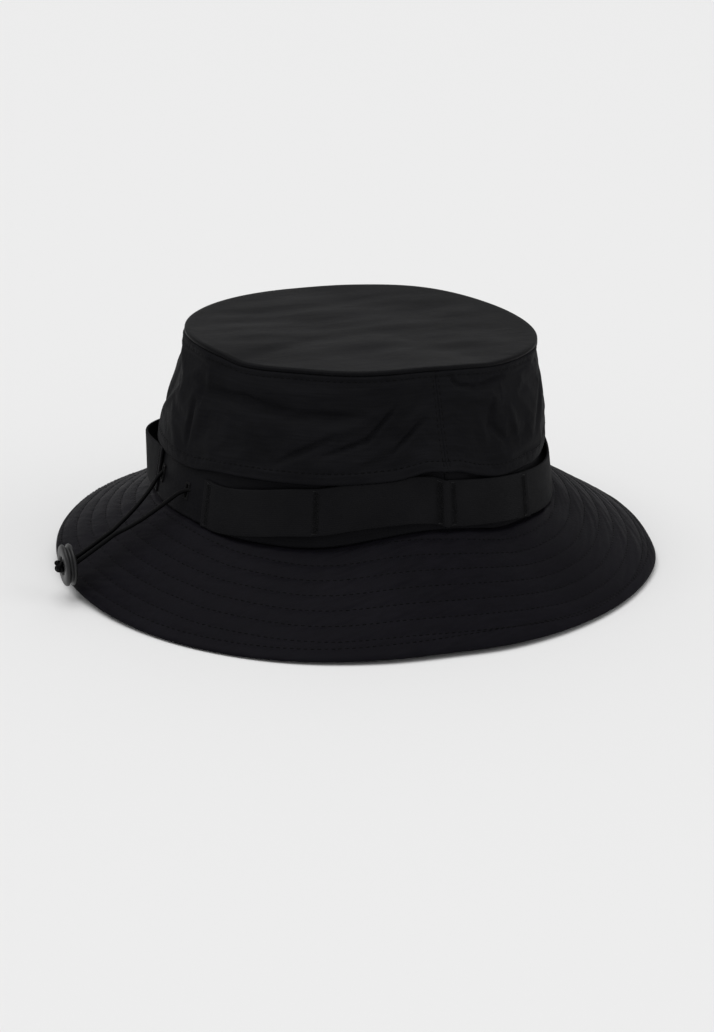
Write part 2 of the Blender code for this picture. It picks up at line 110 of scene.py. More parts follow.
# How far the hem and the band below it stand out past their oval, and the crown's shoulder
HEM_SWELLS = (
    (0, 0.3), (60, 0.0), (85, -1.8), (105, -1.7), (127, 0.2), (143, 0.6), (160, 1.2), (175, 1.5),
    (188, 0.8), (200, 0.6), (214, -0.8), (232, -3.2), (250, -2.2), (280, 0.0), (320, 0.5),
)
TIP_SWELLS = ((0, 0.0), (60, -0.3), (90, 0.0), (150, 0.0), (190, 0.6), (212, 2.2), (232, 4.2),
              (250, 4.0), (285, 1.0))
TIP_LEAN = (0.031, 0.015)
TIP_DROP = 0.6 * MM

STITCH = 2.1 * MM
STITCH_GAP = 0.9 * MM
THREAD = 0.32 * MM
# How thread rises out of the cloth: shares along a stitch, and heights in thicknesses or in mm
STITCH_SHAPE = ((0.0, -0.9), (0.22, 0.5), (0.78, 0.5), (1.0, -0.9))
SATIN_SHAPE = ((0.0, -0.3), (0.12, 0.42), (0.88, 0.42), (1.0, -0.2))
TIP_TOPSTITCH = 3.6 * MM
HEM_TOPSTITCH = 4.7 * MM
SIDE_TOPSTITCH = 1.6 * MM
TAPE_THICKNESS = 1.2 * MM
ROW_PITCH = 8.25 * MM
FIRST_ROW = 3.5 * MM
ROW_COUNTS = range(-1, 6)
# How far the brim's rows of stitches drift outward, as they wind round from the rear
ROW_DRIFT = (
    (90, 0.0), (105, 0.8), (115, 1.3), (124, 3.0), (151, 6.5), (163, 6.9), (182, 10.0), (190, 11.0),
    (205, 12.2), (214, 11.8), (235, 8.6), (260, 8.25), (449, 8.25),
)
EDGE_ROW = ((0, 54.0), (90, 52.8), (151, 54.8), (203, 55.3), (243, 56.6), (300, 55.2))

LOCK_TILT = 28.0
LOCK_TURN = -5.0
LOCK_LIFT = 0.6 * MM
CORD_RADIUS = 1.0 * MM
CHANNEL_HEIGHT = 0.0485
CHANNEL_ROOM = 2.6 * MM
SLIT_ANGLE = 9.5
# The free strands run side by side: how far out, how high, then how far across, left and right
SHARED_ROUTE = (
    (93.3, 48.5, 20.3, -20.3), (94.1, 48.5, 17.3, -17.3), (96.3, 48.4, 14.4, -14.4),
    (99.9, 46.2, 12.9, -12.0), (105.0, 42.1, 9.8, -10.1), (110.7, 38.5, 6.4, -9.4),
    (117.0, 35.2, 2.6, -9.4), (123.4, 32.3, -0.8, -9.1), (127.6, 30.5, -3.0, -8.5),
    (130.3, 29.2, -3.8, -8.2), (132.9, 27.7, -3.8, -8.2), (138.1, 24.7, -3.8, -8.2),
    (145.0, 20.74, -3.8, -8.2),
)
LEFT_ROUTE = [(left, out, high) for out, high, left, right in SHARED_ROUTE] + [(-3.8, 152.9, 16.21)]
RIGHT_ROUTE = [(right, out, high) for out, high, left, right in SHARED_ROUTE] + [(-8.2, 153.3, 15.98)]


# ---- camera, lights and floor ----

def stand_camera():
    place = Vector((-0.7727, 0.4126, 0.3419))
    aim = Vector((-0.00075, -0.0014, 0.01585))
    roll = Matrix.Rotation(math.radians(1.31), 3, "Z")
    turn = (aim - place).to_track_quat("-Z", "Y").to_matrix() @ roll
    data = bpy.data.cameras.new("camera")
    data.lens = 65.15
    data.clip_start = 0.01
    camera = bpy.data.objects.new("camera", data)
    camera.matrix_world = Matrix.Translation(place) @ turn.to_4x4()
    bpy.context.scene.collection.objects.link(camera)
    bpy.context.scene.camera = camera


def hang_light(name, place, spread, strength):
    """A broad soft light that shines from a place towards the hat."""
    data = bpy.data.lights.new(name, "SUN")
    data.angle = math.radians(spread)
    data.energy = strength
    lamp = bpy.data.objects.new(name, data)
    lamp.location = place
    lamp.rotation_euler = (-Vector(place)).to_track_quat("-Z", "Y").to_euler()
    bpy.context.scene.collection.objects.link(lamp)


def light_studio():
    world = bpy.data.worlds.new("studio")
    world.use_nodes = True
    world.node_tree.nodes["Background"].inputs["Color"].default_value = (1.0, 1.0, 1.0, 1.0)
    world.node_tree.nodes["Background"].inputs["Strength"].default_value = 0.52
    bpy.context.scene.world = world
    bpy.context.scene.view_settings.view_transform = "Standard"
    hang_light("softbox_above", (0.05, 0.35, 1.35), 60.0, 1.62)
    hang_light("softbox_right", (-0.9, -1.2, 1.0), 45.0, 0.26)


def lay_floor():
    bm = bmesh.new()
    bmesh.ops.create_grid(bm, x_segments=1, y_segments=1, size=8.0)
    floor = keep_mesh("floor", bm)
    made, tree, shader = start_material("floor_paper")
    shader.inputs["Base Color"].default_value = (0.80, 0.80, 0.80, 1.0)
    shader.inputs["Roughness"].default_value = 0.9
    shader.inputs["Specular IOR Level"].default_value = 0.1
    floor.data.materials.append(made)


# ---- meshes ----

def keep_mesh(name, bm, smooth=True):
    mesh = bpy.data.meshes.new(name)
    bm.to_mesh(mesh)
    bm.free()
    if smooth:
        mesh.shade_smooth()
    made = bpy.data.objects.new(name, mesh)
    bpy.context.scene.collection.objects.link(made)
    return made


def dress(piece, finish, body="hat", replaced=()):
    """Give a piece its material, its body and the CAD nodes that it stands for."""
    piece.data.materials.clear()
    piece.data.materials.append(finish)
    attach(piece, body)
    if replaced:
        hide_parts(*replaced)
    return piece


def thicken(piece, thickness, offset=-1.0):
    wall = piece.modifiers.new("thickness", "SOLIDIFY")
    wall.thickness = thickness
    wall.offset = offset


def round_edges(piece, width, segments=2):
    edge = piece.modifiers.new("soft_edges", "BEVEL")
    edge.width = width
    edge.segments = segments
    edge.limit_method = "ANGLE"
    edge.angle_limit = math.radians(50.0)


# ---- the oval ----

def through(points, at, lap=360.0):
    """The value at a place on a smooth closed curve through (place, value) points."""
    count = len(points)
    at = at % lap
    after = bisect.bisect_right([place for place, value in points], at)
    near = []
    for step in range(after - 2, after + 2):
        place, value = points[step % count]
        near.append((place + lap * (step // count), value))
    (p0, v0), (p1, v1), (p2, v2), (p3, v3) = near
    span = p2 - p1
    share = (at - p1) / span
    slope1 = (v2 - v0) / (p2 - p0) * span
    slope2 = (v3 - v1) / (p3 - p1) * span
    square, cube = share ** 2, share ** 3
    return (
        (2 * cube - 3 * square + 1) * v1 + (cube - 2 * square + share) * slope1
        + (3 * square - 2 * cube) * v2 + (cube - square) * slope2
    )


@functools.lru_cache(maxsize=None)
def oval_axes(degrees):
    turn = math.radians(degrees)
    place = Vector((HALF_WIDTH * math.cos(turn), HALF_LENGTH * math.sin(turn), 0.0))
    outward = Vector((math.cos(turn) / HALF_WIDTH, math.sin(turn) / HALF_LENGTH, 0.0)).normalized()
    return place, outward


def oval_point(degrees, out, height):
    place, outward = oval_axes(degrees)
    return place + outward * out + Vector((0.0, 0.0, height))


def round_hat(points):
    """A function of the angle that reads a table of mm."""
    return functools.lru_cache(maxsize=None)(lambda degrees: through(points, degrees) * MM)


joint_rise = round_hat(JOINT_RISES)
hem_rise = round_hat(HEM_RISES)
tape_rise = round_hat(TAPE_RISES)
hem_swell = round_hat(HEM_SWELLS)
tip_swell = round_hat(TIP_SWELLS)


@functools.lru_cache(maxsize=None)
def tip_rise(degrees):
    edge = oval_point(degrees, TIP_EDGE, 0.0)
    return through(TIP_RISES, degrees) * MM + edge.x * TIP_LEAN[0] + edge.y * TIP_LEAN[1] - TIP_DROP


def between(low, high, share):
    return low + (high - low) * min(max(share, 0.0), 1.0)


def rise(degrees, height):
    """How far the sewing lifts or drops a level line of the crown."""
    if height < HEM:
        return between(joint_rise(degrees), hem_rise(degrees), (height - SEAM) / (HEM - SEAM))
    return between(hem_rise(degrees), tip_rise(degrees), (height - HEM) / (WALL_TOP - HEM))


def swell(degrees, height):
    """How far the sewing pushes the crown out past its oval."""
    if height < HEM:
        return between(0.0, min(hem_swell(degrees), 0.0), (height - SEAM) / (HEM - SEAM))
    share = (height - HEM) / (WALL_TOP - HEM)
    return hem_swell(degrees) * max(0.0, 1.0 - 3.0 * share) + tip_swell(degrees) * share ** 2


def hat_point(degrees, out, height):
    return oval_point(degrees, out + swell(degrees, height), height + rise(degrees, height))


def arc(degrees):
    """Length along the oval, near enough for a pattern."""
    return math.radians(degrees) * (HALF_WIDTH + HALF_LENGTH) / 2


def band_out(height):
    return BAND_LEAN * (height - SEAM)


# ---- cloth on a grid ----

def cut_cloth(name, start, end, columns, rows, place, height=1.0, drop=None):
    """A sheet of cloth round part of the hat.

    place(degrees, share) puts each point of it, with share 0 along its lower edge.
    """
    def on_cloth(spot):
        return start + (end - start) * (spot.x + 0.5), spot.y + 0.5

    bm = bmesh.new()
    bmesh.ops.create_grid(bm, x_segments=columns, y_segments=rows, size=0.5)
    cut = bm.loops.layers.uv.new("cut")
    if drop:
        spare = [face for face in bm.faces if drop(*on_cloth(face.calc_center_median()))]
        bmesh.ops.delete(bm, geom=spare, context="FACES")
    for face in bm.faces:
        for loop in face.loops:
            degrees, share = on_cloth(loop.vert.co)
            loop[cut].uv = (arc(degrees), share * height)
    for vert in bm.verts:
        vert.co = place(*on_cloth(vert.co))
    if end - start == 360.0:
        bmesh.ops.remove_doubles(bm, verts=[v for v in bm.verts if v.is_boundary], dist=1e-6)
    return keep_mesh(name, bm)


def smooth_route(points, step):
    """Points a step apart on a smooth curve through the route's points."""
    path = [Vector(point) for point in points]
    path = [path[0] * 2.0 - path[1]] + path + [path[-1] * 2.0 - path[-2]]
    fine = []
    for before, start, end, after in zip(path, path[1:], path[2:], path[3:]):
        for part in range(24):
            share = part / 24
            bend = (before * 2.0 - start * 5.0 + end * 4.0 - after) * share ** 2
            twist = (start * 3.0 - before - end * 3.0 + after) * share ** 3
            fine.append((start * 2.0 + (end - before) * share + bend + twist) / 2.0)
    fine.append(path[-2])
    return walk(fine, step)


def walk(points, step):
    """The same line with its points evenly a step apart."""
    length = sum((b - a).length for a, b in zip(points, points[1:]))
    pieces = max(2, round(length / step))
    evenly = [points[0]]
    walked = 0.0
    for start, end in zip(points, points[1:]):
        span = (end - start).length
        while len(evenly) < pieces and walked + span >= len(evenly) * length / pieces:
            evenly.append(start.lerp(end, (len(evenly) * length / pieces - walked) / span))
        walked += span
    return evenly + [points[-1]]


def line_frames(path):
    """Two square axes at each point of a line, turning as little as they can."""
    frames = []
    side = (path[1] - path[0]).orthogonal().normalized()
    for index, point in enumerate(path):
        ahead = path[min(index + 1, len(path) - 1)] - path[max(index - 1, 0)]
        ahead.normalize()
        side = (side - ahead * side.dot(ahead)).normalized()
        frames.append((side, ahead.cross(side)))
    return frames


def tube(name, path, sides, radius):
    """A closed tube along a line; radius(distance, turn) is its surface."""
    step = (path[1] - path[0]).length
    frames = line_frames(path)
    bm = bmesh.new()
    bmesh.ops.create_grid(bm, x_segments=len(path) - 1, y_segments=sides, size=0.5)
    cut = bm.loops.layers.uv.new("cut")
    for face in bm.faces:
        for loop in face.loops:
            loop[cut].uv = ((loop.vert.co.x + 0.5) * step * (len(path) - 1), (loop.vert.co.y + 0.5))
    for vert in bm.verts:
        index = round((vert.co.x + 0.5) * (len(path) - 1))
        turn = -2.0 * math.pi * (vert.co.y + 0.5)
        side, up = frames[index]
        reach = radius(index * step, turn)
        vert.co = path[index] + (side * math.cos(turn) + up * math.sin(turn)) * reach
    bmesh.ops.remove_doubles(bm, verts=[v for v in bm.verts if v.is_boundary], dist=1e-7)
    bmesh.ops.holes_fill(bm, edges=[e for e in bm.edges if e.is_boundary], sides=0)
    bmesh.ops.recalc_face_normals(bm, faces=bm.faces)
    return keep_mesh(name, bm)


def braid(distance, turn):
    """A braided sleeve: two sets of strands that wind opposite ways."""
    wind = distance / (1.9 * MM) * math.pi
    one = abs(math.cos(turn * 4.0 + wind * 2.0))
    other = abs(math.cos(turn * 4.0 - wind * 2.0))
    return CORD_RADIUS * (0.93 + 0.09 * max(one, other) ** 0.7)


# ---- stitches ----

def lay_thread(name, runs, radius, finish, replaced=()):
    """Round thread along each run of points."""
    curve = bpy.data.curves.new(name, "CURVE")
    curve.dimensions = "3D"
    curve.bevel_depth = radius
    curve.bevel_resolution = 1
    curve.use_fill_caps = True
    for run in runs:
        spline = curve.splines.new("POLY")
        spline.points.add(len(run) - 1)
        for spot, point in zip(spline.points, run):
            spot.co = (*point, 1.0)
    piece = bpy.data.objects.new(name, curve)
    bpy.context.scene.collection.objects.link(piece)
    dress(piece, finish, replaced=replaced)


def lay_stitches(name, rows):
    """Stitches along rows of (point, outward) pairs, dipping into the cloth between them."""
    runs = [stitch for row in rows for stitch in split_stitches(row)]
    lay_thread(name, runs, THREAD / 2, FINISH["thread"])


def split_stitches(row):
    walked = [0.0]
    for (start, _), (end, _) in zip(row, row[1:]):
        walked.append(walked[-1] + (end - start).length)
    stitches = []
    at = STITCH_GAP
    while at + STITCH < walked[-1]:
        points = []
        for part, lift in STITCH_SHAPE:
            distance = at + part * STITCH
            index = min(max(bisect.bisect_right(walked, distance) - 1, 0), len(row) - 2)
            span = max(walked[index + 1] - walked[index], 1e-9)
            share = (distance - walked[index]) / span
            place = row[index][0].lerp(row[index + 1][0], share)
            outward = row[index][1].lerp(row[index + 1][1], share)
            points.append(place + outward * lift * THREAD)
        stitches.append(points)
        at += STITCH + STITCH_GAP
    return stitches


def row_on(sample, start, end, step):
    """A row's (point, outward) pairs; sample(degrees) gives one of them."""
    count = max(2, round(abs(end - start) / step))
    return [sample(start + (end - start) * index / count) for index in range(count + 1)]


# ---- materials ----

def start_material(name):
    made = bpy.data.materials.new(name)
    made.use_nodes = True
    return made, made.node_tree, made.node_tree.nodes["Principled BSDF"]


def add_node(tree, kind, **values):
    made = tree.nodes.new(kind)
    for name, value in values.items():
        if name in made.inputs.keys():
            made.inputs[name].default_value = value
        else:
            setattr(made, name, value)
    return made


def spread(tree, source, low, high):
    """Take a pattern's 0 to 1 to another range."""
    made = tree.nodes.new("ShaderNodeMapRange")
    made.inputs["To Min"].default_value = low
    made.inputs["To Max"].default_value = high
    tree.links.new(source, made.inputs["Value"])
    return made.outputs["Result"]


def tint(tree, source, dark, light):
    made = tree.nodes.new("ShaderNodeMix")
    made.data_type = "RGBA"
    made.inputs["A"].default_value = (*dark, 1.0)
    made.inputs["B"].default_value = (*light, 1.0)
    tree.links.new(source, made.inputs["Factor"])
    return made.outputs["Result"]


def add_bump(tree, height, strength, distance, under=None):
    made = tree.nodes.new("ShaderNodeBump")
    made.inputs["Strength"].default_value = strength
    made.inputs["Distance"].default_value = distance
    tree.links.new(height, made.inputs["Height"])
    if under:
        tree.links.new(under, made.inputs["Normal"])
    return made.outputs["Normal"]


def place_pattern(tree, by_cut, scale=(1.0, 1.0, 1.0)):
    where = tree.nodes.new("ShaderNodeTexCoord")
    sized = tree.nodes.new("ShaderNodeMapping")
    sized.inputs["Scale"].default_value = scale
    tree.links.new(where.outputs["UV" if by_cut else "Object"], sized.inputs["Vector"])
    return sized.outputs["Vector"]


def noise_on(tree, place, scale, detail=3.0, roughness=0.55):
    made = add_node(tree, "ShaderNodeTexNoise", Scale=scale, Detail=detail, Roughness=roughness)
    tree.links.new(place, made.inputs["Vector"])
    return made.outputs["Fac"]


def threads_on(tree, place, axis, pitch, wobble=0.6):
    made = add_node(tree, "ShaderNodeTexWave", wave_type="BANDS", bands_direction=axis)
    made.inputs["Scale"].default_value = math.pi / 10.0 / pitch
    made.inputs["Distortion"].default_value = wobble
    made.inputs["Detail"].default_value = 1.0
    made.inputs["Detail Scale"].default_value = 1.5
    tree.links.new(place, made.inputs["Vector"])
    return made.outputs["Fac"]


def multiply(tree, one, other, operation="MULTIPLY"):
    made = tree.nodes.new("ShaderNodeMath")
    made.operation = operation
    tree.links.new(one, made.inputs[0])
    tree.links.new(other, made.inputs[1])
    return made.outputs["Value"]


def nylon(name, dark, light, by_cut, slub=(60.0, 900.0), roughness=(0.42, 0.6), specular=0.22,
          sheen=0.1, crinkle=0.25):
    """Fine creased nylon: a plain weave, slubs along the warp, and small crinkles."""
    made, tree, shader = start_material(name)
    place = place_pattern(tree, by_cut)
    warp = threads_on(tree, place, "X", 0.30 * MM)
    weft = threads_on(tree, place, "Y", 0.26 * MM)
    weave = multiply(tree, warp, weft, "ADD")
    slubs = noise_on(tree, place_pattern(tree, by_cut, (*slub, 300.0)), 1.0, 4.0)
    crinkles = noise_on(tree, place, 160.0, 5.0, 0.62)
    broad = noise_on(tree, place, 28.0, 3.0)
    mixed = multiply(tree, slubs, broad)
    colour = tint(tree, spread(tree, mixed, -0.2, 2.6), dark, light)
    tree.links.new(colour, shader.inputs["Base Color"])
    tree.links.new(spread(tree, slubs, *roughness), shader.inputs["Roughness"])
    normal = add_bump(tree, weave, 0.18, 0.06 * MM)
    normal = add_bump(tree, slubs, 0.25, 0.12 * MM, normal)
    normal = add_bump(tree, crinkles, crinkle, 0.5 * MM, normal)
    tree.links.new(normal, shader.inputs["Normal"])
    shader.inputs["Specular IOR Level"].default_value = specular
    shader.inputs["Sheen Weight"].default_value = sheen
    shader.inputs["Sheen Roughness"].default_value = 0.45
    return made


def webbing_finish():
    """Close ribs across flat nylon webbing."""
    made, tree, shader = start_material("webbing")
    place = place_pattern(tree, True)
    ribs = threads_on(tree, place, "Y", 0.95 * MM, 0.3)
    picks = threads_on(tree, place, "X", 0.55 * MM, 0.5)
    rough = noise_on(tree, place, 300.0, 4.0)
    wear = noise_on(tree, place, 40.0, 3.0)
    colour = tint(tree, spread(tree, wear, -0.3, 1.2), (0.0053, 0.0053, 0.0060),
                  (0.0092, 0.0092, 0.0102))
    tree.links.new(colour, shader.inputs["Base Color"])
    tree.links.new(spread(tree, rough, 0.62, 0.8), shader.inputs["Roughness"])
    normal = add_bump(tree, multiply(tree, ribs, picks), 0.5, 0.12 * MM)
    normal = add_bump(tree, rough, 0.2, 0.2 * MM, normal)
    tree.links.new(normal, shader.inputs["Normal"])
    shader.inputs["Specular IOR Level"].default_value = 0.05
    shader.inputs["Sheen Weight"].default_value = 0.004
    return made


def thread_finish(name, colour, roughness=0.5, specular=0.1):
    made, tree, shader = start_material(name)
    place = place_pattern(tree, False)
    fuzz = noise_on(tree, place, 2500.0, 3.0)
    tone = noise_on(tree, place, 60.0)
    bright = tuple(part * 1.6 for part in colour)
    tree.links.new(tint(tree, tone, colour, bright), shader.inputs["Base Color"])
    tree.links.new(spread(tree, fuzz, roughness - 0.1, roughness + 0.15), shader.inputs["Roughness"])
    tree.links.new(add_bump(tree, fuzz, 0.4, 0.1 * MM), shader.inputs["Normal"])
    shader.inputs["Specular IOR Level"].default_value = specular
    return made


def lock_finish():
    """Satin moulded plastic."""
    made, tree, shader = start_material("lock_plastic")
    place = place_pattern(tree, False)
    grain = noise_on(tree, place, 1800.0, 3.0)
    handled = noise_on(tree, place, 220.0, 4.0)
    tree.links.new(tint(tree, handled, (0.010, 0.010, 0.0105), (0.016, 0.016, 0.0165)),
              shader.inputs["Base Color"])
    tree.links.new(spread(tree, handled, 0.34, 0.48), shader.inputs["Roughness"])
    tree.links.new(add_bump(tree, grain, 0.15, 0.05 * MM), shader.inputs["Normal"])
    shader.inputs["Specular IOR Level"].default_value = 0.3
    return made


# ---- the pieces ----

def run_cords():
    """The channel's run, the two free strands, and what hangs on them."""
    strands = {}
    for word, route in (("left", LEFT_ROUTE), ("right", RIGHT_ROUTE)):
        path = smooth_route([Vector(point) * MM for point in route], 0.4 * MM)
        piece = tube("cord_strand_" + word, path, 32, braid)
        dress(piece, FINISH["cord"], replaced=("drawcord_strand_" + word,))
        strands[word] = (piece, path)
    middle = band_out(CHANNEL_HEIGHT) - CLOTH - CHANNEL_ROOM + GAP + CORD_RADIUS
    ends = [math.degrees(math.atan2(route[0][1] / HALF_LENGTH, route[0][0] / HALF_WIDTH))
            for route in (RIGHT_ROUTE, LEFT_ROUTE)]
    marks = [ends[0] + 0.3 + (ends[1] + 360.0 - ends[0] - 0.6) * step / 360 for step in range(361)]
    path = walk([oval_point(mark, middle, CHANNEL_HEIGHT) for mark in marks], 1.2 * MM)
    piece = tube("cord_in_channel", path, 12, lambda distance, turn: CORD_RADIUS)
    dress(piece, FINISH["cord"], replaced=("drawcord_channel_run",))
    knot = tie_knot()
    lock = mould_lock()
    for word, (piece, path) in strands.items():
        length = sum((b - a).length for a, b in zip(path, path[1:]))
        [tuple(p) for p in path]


def lock_axes():
    """Axes at the lock: it leans back off the line of the cords and turns aside."""
    along = Vector((0.0, 0.8673, -0.4978))
    off = Vector((0.0, 0.4978, 0.8673))
    centre = (LOCK_BOX[0] + LOCK_BOX[1]) / 2
    cords = Matrix((Vector((1.0, 0.0, 0.0)), along, off)).transposed().to_4x4()
    lean = Matrix.Rotation(math.radians(LOCK_TILT), 4, "X")
    aside = Matrix.Rotation(math.radians(LOCK_TURN), 4, "Z")
    return Matrix.Translation(centre) @ cords @ lean @ aside


def tie_knot():
    """An overhand knot pulled tight, its ends trimmed."""
    wind = []
    for step in range(240):
        turn = 2.0 * math.pi * step / 240
        wind.append(Vector((
            (math.sin(turn) + 2.0 * math.sin(2.0 * turn)) * 0.72 * MM,
            3.85 * MM - math.sin(3.0 * turn) * 1.15 * MM,
            (math.cos(turn) - 2.0 * math.cos(2.0 * turn)) * 0.72 * MM,
        )))
    path = walk(wind + [wind[0]], 0.2 * MM)
    piece = tube("cord_knot_tied", path, 20, lambda distance, turn: CORD_RADIUS * (
        0.95 + 0.07 * abs(math.cos(turn * 3.0 + distance / MM * 2.4))))
    piece.data.transform(lock_axes())
    return dress(piece, FINISH["cord"], replaced=("cord_knot",))


def mould_lock():
    """A grooved disc, dished on its outer face, with an oblong bore for both strands."""
    rim = [(7.4, -2.8), (8.5, -2.65), (9.3, -2.3), (9.68, -1.8), (9.75, -1.4), (9.55, -1.0),
           (9.0, -0.75), (8.5, -0.4)]
    profile = [(2.6, -2.7), (4.6, -2.8)] + rim + [(8.35, 0.0)]
    profile += [(out, -along) for out, along in reversed(rim)]
    profile += [(5.2, 2.8), (4.6, 2.65), (4.3, 2.3), (4.3, 1.7), (4.1, 1.45), (2.6, 1.4)]
    bore = 1.3 * MM
    strands_apart = 2.2 * MM
    bm = bmesh.new()
    spots = [bm.verts.new((out * MM, along * MM, 0.0)) for out, along in profile]
    edges = [bm.edges.new(pair) for pair in zip(spots, spots[1:] + spots[:1])]
    bmesh.ops.spin(bm, geom=spots + edges, cent=(0, 0, 0), axis=(0, 1, 0), dvec=(0, 0, 0),
                   angle=2.0 * math.pi, steps=72, use_merge=True, use_duplicate=False)
    bmesh.ops.remove_doubles(bm, verts=bm.verts, dist=1e-7)
    slant = (Matrix.Rotation(math.radians(LOCK_TILT), 3, "X")
             @ Matrix.Rotation(math.radians(LOCK_TURN), 3, "Z")).inverted()
    cords = slant @ Vector((0.0, 1.0, 0.0))
    high = slant @ Vector((0.0, 0.0, -LOCK_LIFT))
    for vert in bm.verts:
        out = math.hypot(vert.co.x, vert.co.z)
        if out < 2.7 * MM:
            turn = math.atan2(vert.co.z, vert.co.x)
            apart = strands_apart * max(-1.0, min(1.0, 1.6 * math.cos(turn)))
            reach = (vert.co.y - high.y) / cords.y
            vert.co.x = apart + bore * math.cos(turn) + high.x + cords.x * reach
            vert.co.z = bore * math.sin(turn) + high.z + cords.z * reach
    bmesh.ops.recalc_face_normals(bm, faces=bm.faces)
    bmesh.ops.transform(bm, matrix=lock_axes(), verts=bm.verts)
    piece = keep_mesh("cord_lock_disc", bm)
    return dress(piece, FINISH["lock"], "lock", ("cord_lock",))


def brim_wave(degrees):
    return sum(high * math.cos(math.radians(count * (degrees - crest)))
               for count, high, crest in BRIM_WAVES)


LOWEST_WAVE = min(brim_wave(step) for step in range(360))


@functools.lru_cache(maxsize=None)
def brim_slope(degrees):
    """The brim's upper face at an angle: seam height, edge height, reach and slope length."""
    seam = SEAM + joint_rise(degrees)
    edge = brim_wave(degrees) - LOWEST_WAVE + EDGE_THICKNESS
    reach = REACH + (through(BRIM_SHIFTS, degrees) + 0.3) * MM
    return seam, edge, reach, math.hypot(reach, seam - edge)


@functools.lru_cache(maxsize=None)
def brim_rows(degrees):
    """Where the rows of stitches cross this angle, as distances down the brim."""
    lap = (degrees - 90.0) % 360.0 + 90.0
    drift = through_open(ROW_DRIFT, lap) * MM
    edge_row = through(EDGE_ROW, degrees) * MM
    rows = []
    for count in ROW_COUNTS:
        run = FIRST_ROW + ROW_PITCH * count + drift
        if 1.0 * MM < run < edge_row - 1.0 * MM:
            rows.append((count, run))
    return rows, edge_row


def through_open(points, at):
    """The value at a place on a smooth open curve through (place, value) points."""
    after = min(max(bisect.bisect_right([place for place, value in points], at), 1), len(points) - 1)
    (p1, v1), (p2, v2) = points[after - 1], points[after]
    share = min(max((at - p1) / (p2 - p1), 0.0), 1.0)
    share = 0.5 * share + 0.5 * share * share * (3.0 - 2.0 * share)
    return v1 + (v2 - v1) * share


def quilt(degrees, run):
    """How far the brim's cloth puffs up between its rows of stitches."""
    rows, edge_row = brim_rows(degrees)
    nearest = min([abs(run - row) for count, row in rows] + [abs(run - edge_row), ROW_PITCH])
    puff = 1.0 - math.exp(-(nearest / (1.5 * MM)) ** 1.3)
    along_row = arc(degrees) * (1.0 + run / 0.095)
    pucker = noise.noise(Vector((along_row / (2.6 * MM), run / (9.0 * MM), 3.0)))
    crease = noise.noise(Vector((along_row / (9.0 * MM), run / (14.0 * MM), 8.0)))
    close = math.exp(-(nearest / (2.4 * MM)) ** 2)
    joint = math.exp(-(max(run, 0.0) / (1.3 * MM)) ** 2)
    return (0.42 * puff + 0.20 * pucker * (0.25 + close) + 0.30 * crease * puff - 0.9 * joint) * MM


def brim_point(degrees, run, lift):
    """A point on the brim's upper face, lifted square to it."""
    seam, edge, reach, slope = brim_slope(degrees)
    share = run / slope
    down = (edge - seam) / slope
    out = reach / slope
    return oval_point(degrees, reach * share - down * lift, seam + (edge - seam) * share + out * lift)


def brim_facing(degrees):
    seam, edge, reach = brim_slope(degrees)[:3]
    outward = oval_axes(degrees)[1]
    return (outward * (seam - edge) + Vector((0.0, 0.0, reach))).normalized()


def brim_depth(degrees, run):
    """The brim's thickness, which thins towards its edge."""
    left = max(0.0, brim_slope(degrees)[3] - run)
    return EDGE_THICKNESS + (BRIM_THICKNESS - EDGE_THICKNESS) * min(1.0, left / (6.0 * MM))


def on_brim(degrees, run, lift, side):
    """A point lifted off the brim's upper (side 1) or under (side -1) face."""
    return brim_point(degrees, run, lift if side > 0 else -brim_depth(degrees, run) - lift)


def cut_brim():
    roll = EDGE_THICKNESS / 2
    columns, rows = 720, 84
    tuck = 1.4 * MM

    def face(degrees, along, side):
        """A point on the upper (side 1) or under (side -1) face, along from 0 at the seam to 1."""
        slope = brim_slope(degrees)[3]
        flat = slope - roll
        run = (tuck + flat + roll * math.pi / 2) * along - tuck
        if run < flat:
            lift = quilt(degrees, run) * min(1.0, (flat - run) / (1.5 * MM) + 0.25) - 0.3 * MM
            return on_brim(degrees, run, lift, side)
        turn = (run - flat) / roll
        lift = -roll + side * (roll - 0.2 * MM) * math.cos(turn)
        return brim_point(degrees, flat + roll * math.sin(turn), lift)

    def upper(degrees, share):
        return face(degrees, 1.0 - share, 1.0)

    def under(degrees, share):
        return face(degrees, share, -1.0)

    top = cut_cloth("brim_cloth_top", 0.0, 360.0, columns, rows, upper, 0.064)
    dress(top, FINISH["brim"], replaced=("brim_upper",))
    lining = cut_cloth("brim_cloth_under", 0.0, 360.0, columns, rows, under, 0.064)
    dress(lining, FINISH["brim"], replaced=("brim_lining",))

    def inner(degrees, share):
        slope = brim_slope(degrees)[3]
        return brim_point(degrees, 4.0 * MM + (slope - 8.0 * MM) * (1.0 - share), -0.95 * MM)

    stiffener = cut_cloth("brim_stiffener", 0.0, 360.0, 180, 12, inner, 0.06)
    thicken(stiffener, 0.5 * MM)
    dress(stiffener, FINISH["interlining"], replaced=("brim_interlining",))
    for word, side in (("top", 1.0), ("under", -1.0)):
        sew_brim(word, side)


